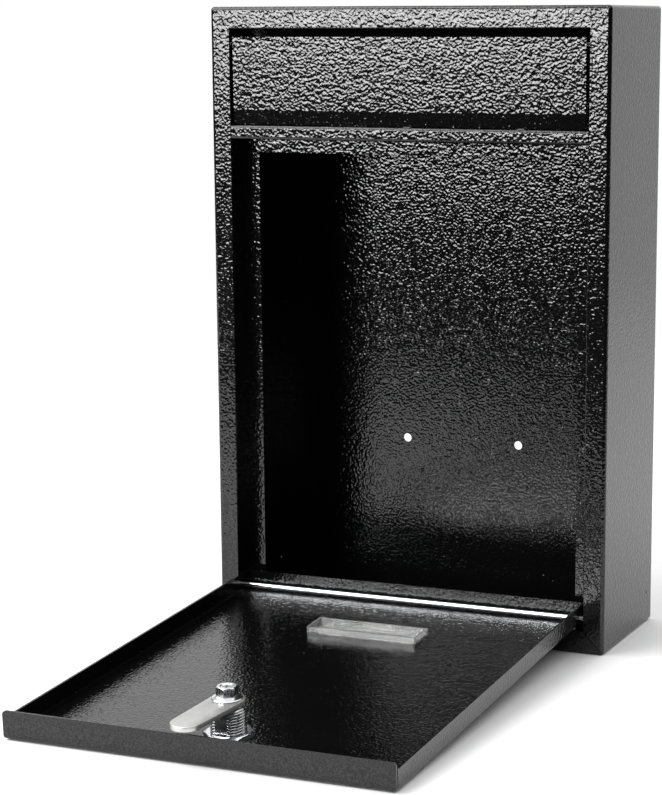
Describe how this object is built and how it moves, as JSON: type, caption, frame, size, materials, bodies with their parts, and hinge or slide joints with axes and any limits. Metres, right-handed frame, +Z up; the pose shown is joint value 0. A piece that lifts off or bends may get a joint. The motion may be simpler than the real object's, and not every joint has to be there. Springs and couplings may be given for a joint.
{
  "type": "parcel drop box",
  "caption": "Wall-mounted sheet-steel drop box with a push-in mail flap, a drop-down lower door on a hinge rod, a window slot and a cam lock.",
  "frame": {"origin": "centre of the casing's bottom face, where it stands", "axes": "+Z up, +Y towards the wall, -Y out of the front, +X to the right as seen from the front"},
  "size_m": [0.25, 0.3686, 0.372],
  "materials": {
    "powder_coat": "black hammered powder coat, glossy",
    "bright_zinc": "bright zinc plate",
    "cam_zinc": "satin zinc plate",
    "lock_chrome": "plated zinc die casting",
    "spring_steel": "oiled spring steel",
    "brass": "stamped brass",
    "clear_plastic": "clear moulded acrylic"
  },
  "bodies": {
    "casing": {"casing_wrap": "powder_coat", "back_panel": "powder_coat", "cross_rail": "powder_coat", "left_stop": "powder_coat", "right_stop": "powder_coat", "rain_baffle": "powder_coat", "door_hinge_rod": "bright_zinc", "flap_rod": "bright_zinc", "rod_retainers": "spring_steel"},
    "flap": {"flap": "powder_coat", "flap_spring": "spring_steel"},
    "door": {"door_panel": "powder_coat", "window_lens": "clear_plastic", "lock_barrel": "lock_chrome", "lock_nut": "bright_zinc"},
    "lock_core": {"lock_plug": "lock_chrome", "lock_wafers": "brass", "wafer_springs": "spring_steel", "stop_washer": "bright_zinc", "lock_cam": "cam_zinc", "cam_bolt": "bright_zinc"}
  },
  "joints": [
    {"name": "door_hinge", "type": "hinge", "parent": "casing", "child": "door", "pos_m": [0, -0.043, 0.0205], "axis": [-1, 0, 0], "range_deg": [0, 93.5]},
    {"name": "flap_hinge", "type": "hinge", "parent": "casing", "child": "flap", "pos_m": [0, -0.0415, 0.3505], "axis": [1, 0, 0], "range_deg": [0, 80], "stiffness_Nm_per_rad": 0.03, "springref_deg": -45.84},
    {"name": "lock_turn", "type": "hinge", "parent": "door", "child": "lock_core", "pos_m": [0, -0.27585, 0.00275], "axis": [0, -0.061, 0.9981], "range_deg": [0, 90]}
  ]
}
